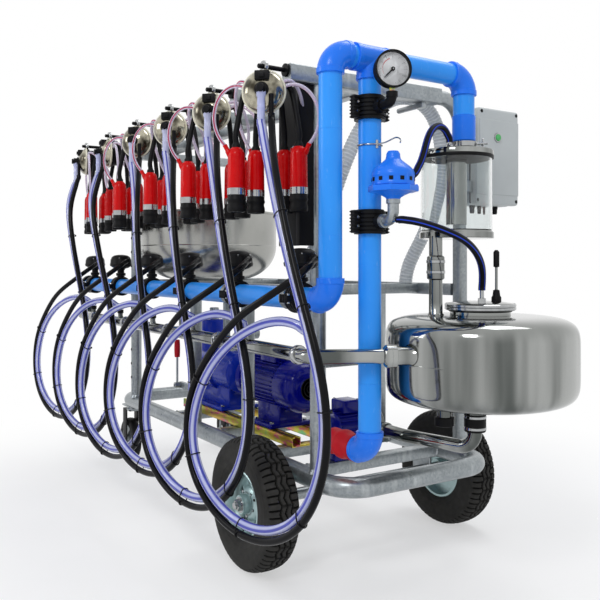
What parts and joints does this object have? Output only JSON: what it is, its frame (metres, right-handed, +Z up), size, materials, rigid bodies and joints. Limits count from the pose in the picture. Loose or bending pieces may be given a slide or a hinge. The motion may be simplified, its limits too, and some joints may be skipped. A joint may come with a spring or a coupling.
{
  "type": "mobile milking machine",
  "caption": "Wheeled tube trolley with blue vacuum pipework, steel milk receiver, pump set and hanging milking clusters with red teat cups on looped hoses.",
  "frame": {"origin": "on the ground under the middle of the machine, measured without its hoses", "axes": "+X along the trolley towards the milk receiver, -Y the side on which the clusters hang, +Z up"},
  "size_m": [2.6835, 1.2001, 1.5415],
  "materials": {
    "black_rubber": "smooth",
    "black_steel": "black paint",
    "box_grey": "fine",
    "button_green": "smooth",
    "claw": "translucent",
    "clear": "clear tube",
    "cup_red": "smooth",
    "galvanised": "hot-dip galvanised",
    "jar": "clear",
    "motor_blue": "gloss paint",
    "pipe_blue": "smooth",
    "pump_blue": "gloss paint",
    "red_rubber": "smooth",
    "stainless": "polished stainless",
    "tyre": "block tread",
    "yellow_zinc": "yellow zinc plated",
    "zinc": "zinc plated"
  },
  "bodies": {
    "chassis": {"base_frame": "galvanised", "control_box": "box_grey", "delivery_pipe": "stainless", "far_hoop": "galvanised", "gauge_case": "black_rubber", "milk_hose_1": "clear", "milk_hose_2": "clear", "milk_hose_3": "clear", "milk_hose_4": "clear", "milk_hose_5": "clear", "milk_hose_6": "clear", "milk_line": "stainless", "milk_pump": "motor_blue", "motor": "motor_blue", "motor_rails": "yellow_zinc", "near_hoop": "galvanised", "platform": "galvanised", "pulse_hose_1": "black_rubber", "pulse_hose_2": "black_rubber", "pulse_hose_3": "black_rubber", "pulse_hose_4": "black_rubber", "pulse_hose_5": "black_rubber", "pulse_hose_6": "black_rubber", "receiver": "stainless", "receiver_hose": "black_rubber", "receiver_lid": "stainless", "red_coupling": "red_rubber", "regulator": "pipe_blue", "spiral_hose": "clear", "trap_cylinder": "jar", "trap_hose": "black_rubber", "trap_lid": "stainless", "trap_pipe": "stainless", "vacuum_header": "pipe_blue", "vacuum_line": "pipe_blue", "vacuum_pump": "pump_blue", "wash_tub": "stainless"},
    "wheel_left": {"tyre_left": "tyre", "rim_left": "zinc"},
    "wheel_right": {"tyre_right": "tyre", "rim_right": "zinc"},
    "castor_left_fork": {"castor_fork_left": "black_steel"},
    "castor_left_roller": {"castor_wheel_left": "tyre"},
    "castor_right_fork": {"castor_fork_right": "black_steel"},
    "castor_right_roller": {"castor_wheel_right": "tyre"},
    "start_button": {"start_button": "button_green"},
    "gauge_needle": {"gauge_needle": "black_steel"},
    "drain_lever": {"drain_lever": "cup_red"},
    "cluster_1": {"cluster_1": "claw"},
    "claw_valve_1": {"claw_valve_1": "black_rubber"},
    "cluster_2": {"cluster_2": "claw"},
    "claw_valve_2": {"claw_valve_2": "black_rubber"},
    "cluster_3": {"cluster_3": "claw"},
    "claw_valve_3": {"claw_valve_3": "black_rubber"},
    "cluster_4": {"cluster_4": "claw"},
    "claw_valve_4": {"claw_valve_4": "black_rubber"},
    "cluster_5": {"cluster_5": "claw"},
    "claw_valve_5": {"claw_valve_5": "black_rubber"},
    "cluster_6": {"cluster_6": "claw"},
    "claw_valve_6": {"claw_valve_6": "black_rubber"}
  },
  "joints": [
    {"name": "wheel_left_spin", "type": "hinge", "parent": "chassis", "child": "wheel_left", "pos_m": [0.47, -0.405, 0.205], "axis": [0, 1, 0], "continuous": true},
    {"name": "wheel_right_spin", "type": "hinge", "parent": "chassis", "child": "wheel_right", "pos_m": [0.47, 0.405, 0.205], "axis": [0, 1, 0], "continuous": true},
    {"name": "castor_left_swivel", "type": "hinge", "parent": "chassis", "child": "castor_left_fork", "pos_m": [-0.97, -0.265, 0.266], "axis": [0, 0, 1], "continuous": true},
    {"name": "castor_left_roll", "type": "hinge", "parent": "castor_left_fork", "child": "castor_left_roller", "pos_m": [-1.015, -0.265, 0.1], "axis": [0, 1, 0], "continuous": true},
    {"name": "castor_right_swivel", "type": "hinge", "parent": "chassis", "child": "castor_right_fork", "pos_m": [-0.97, 0.265, 0.266], "axis": [0, 0, 1], "continuous": true},
    {"name": "castor_right_roll", "type": "hinge", "parent": "castor_right_fork", "child": "castor_right_roller", "pos_m": [-1.015, 0.265, 0.1], "axis": [0, 1, 0], "continuous": true},
    {"name": "start_button_press", "type": "slide", "parent": "chassis", "child": "start_button", "axis": [-1, 0, 0], "range_m": [0, 0.004], "stiffness_N_per_m": 400},
    {"name": "gauge_needle_turn", "type": "hinge", "parent": "chassis", "child": "gauge_needle", "pos_m": [0.99335, -0.27737, 1.456], "axis": [0.9272, -0.3746, 0], "range_deg": [-180, 90], "stiffness_Nm_per_rad": 0.005},
    {"name": "drain_lever_turn", "type": "hinge", "parent": "chassis", "child": "drain_lever", "pos_m": [-0.565, -0.215, 0.415], "axis": [0, 1, 0], "range_deg": [-60, 0]},
    {"name": "cluster_1_unhook", "type": "slide", "parent": "chassis", "child": "cluster_1", "axis": [0, -1, 0], "range_m": [0, 0.04]},
    {"name": "claw_valve_1_pull", "type": "slide", "parent": "cluster_1", "child": "claw_valve_1", "axis": [0.766, -0.6428, 0], "range_m": [0, 0.008]},
    {"name": "cluster_2_unhook", "type": "slide", "parent": "chassis", "child": "cluster_2", "axis": [0, -1, 0], "range_m": [0, 0.04]},
    {"name": "claw_valve_2_pull", "type": "slide", "parent": "cluster_2", "child": "claw_valve_2", "axis": [0.7431, -0.6691, 0], "range_m": [0, 0.008]},
    {"name": "cluster_3_unhook", "type": "slide", "parent": "chassis", "child": "cluster_3", "axis": [0, -1, 0], "range_m": [0, 0.04]},
    {"name": "claw_valve_3_pull", "type": "slide", "parent": "cluster_3", "child": "claw_valve_3", "axis": [0.7193, -0.6947, 0], "range_m": [0, 0.008]},
    {"name": "cluster_4_unhook", "type": "slide", "parent": "chassis", "child": "cluster_4", "axis": [0, -1, 0], "range_m": [0, 0.04]},
    {"name": "claw_valve_4_pull", "type": "slide", "parent": "cluster_4", "child": "claw_valve_4", "axis": [0.6947, -0.7193, 0], "range_m": [0, 0.008]},
    {"name": "cluster_5_unhook", "type": "slide", "parent": "chassis", "child": "cluster_5", "axis": [0, -1, 0], "range_m": [0, 0.04]},
    {"name": "claw_valve_5_pull", "type": "slide", "parent": "cluster_5", "child": "claw_valve_5", "axis": [-0.1392, -0.9903, 0], "range_m": [0, 0.008]},
    {"name": "cluster_6_unhook", "type": "slide", "parent": "chassis", "child": "cluster_6", "axis": [0, -1, 0], "range_m": [0, 0.04]},
    {"name": "claw_valve_6_pull", "type": "slide", "parent": "cluster_6", "child": "claw_valve_6", "axis": [-0.2419, -0.9703, 0], "range_m": [0, 0.008]}
  ]
}
